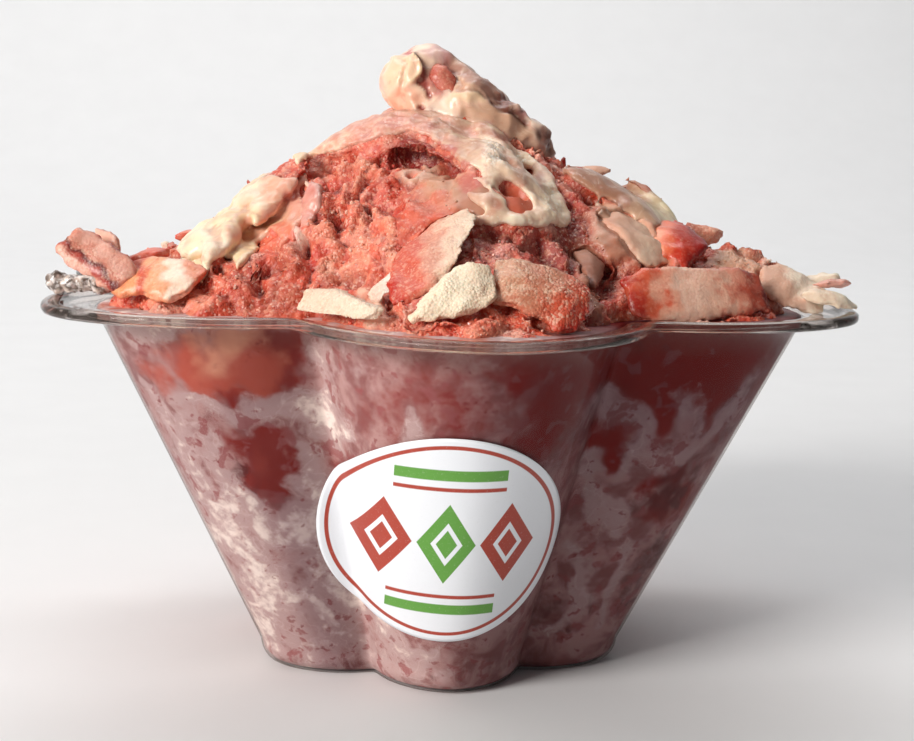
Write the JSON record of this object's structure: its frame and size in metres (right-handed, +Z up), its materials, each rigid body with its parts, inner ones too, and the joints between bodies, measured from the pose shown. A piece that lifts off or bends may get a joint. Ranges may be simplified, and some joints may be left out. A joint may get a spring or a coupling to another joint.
{
  "type": "shaved ice dessert",
  "caption": "Packed strawberry shaved ice heaped over the rim of a clear petal-shaped bowl, with fruit slices, frozen slabs and poured cream.",
  "frame": {"origin": "centre of the bounding box at table level, on the bowl's axis", "axes": "+Z up along the bowl's axis, -Y out through the petal that carries the label, +X to the right of it"},
  "size_m": [0.1584, 0.1756, 0.127],
  "materials": {
    "bowl_plastic": "clear thin plastic, slightly hazy, glossy",
    "label_paper": "smooth coated paper, satin",
    "shaved_ice": "wet granular ice, coral red marbled with pale milk",
    "clear_ice": "clear wet ice grains",
    "strawberry": "moist cut fruit, red at the skin and pale inside, frosted",
    "frozen_milk_ice": "frosted frozen slab, finely granular",
    "cream": "thick condensed milk, glossy, ivory to mauve pink"
  },
  "bodies": {
    "root": {"bowl": "bowl_plastic", "label": "label_paper", "shaved_ice": "shaved_ice", "ice_clump_rim": "clear_ice", "strawberry_slice_front": "strawberry", "strawberry_slice_frosted": "strawberry", "strawberry_slice_right": "strawberry", "strawberry_slice_red": "strawberry", "strawberry_chip_right": "strawberry", "strawberry_bit_right": "strawberry", "strawberry_chip_left": "strawberry", "strawberry_chip_left_back": "strawberry", "strawberry_slice_left": "strawberry", "strawberry_slice_left_upper": "strawberry", "strawberry_fold_head": "strawberry", "strawberry_slice_back": "strawberry", "strawberry_slice_back_left": "strawberry", "pink_shred": "strawberry", "frosted_slab_front": "frozen_milk_ice", "frosted_slab_left": "frozen_milk_ice", "frosted_wedge_front": "frozen_milk_ice", "frosted_slab_back": "frozen_milk_ice", "iced_slice_right": "frozen_milk_ice", "iced_chip_right": "frozen_milk_ice", "iced_slab_rim_right": "frozen_milk_ice", "iced_shaving_upper": "frozen_milk_ice", "iced_slab_back_right": "frozen_milk_ice", "cream_head": "cream", "cream_flank": "cream", "cream_blob": "cream", "cream_band": "cream", "cream_drizzle_left": "cream", "cream_sheet_right": "cream", "cream_drip_right": "cream", "cream_pool_left": "cream", "cream_back": "cream", "cream_shred_upper": "cream", "cream_shred_curl": "cream"}
  },
  "joints": []
}
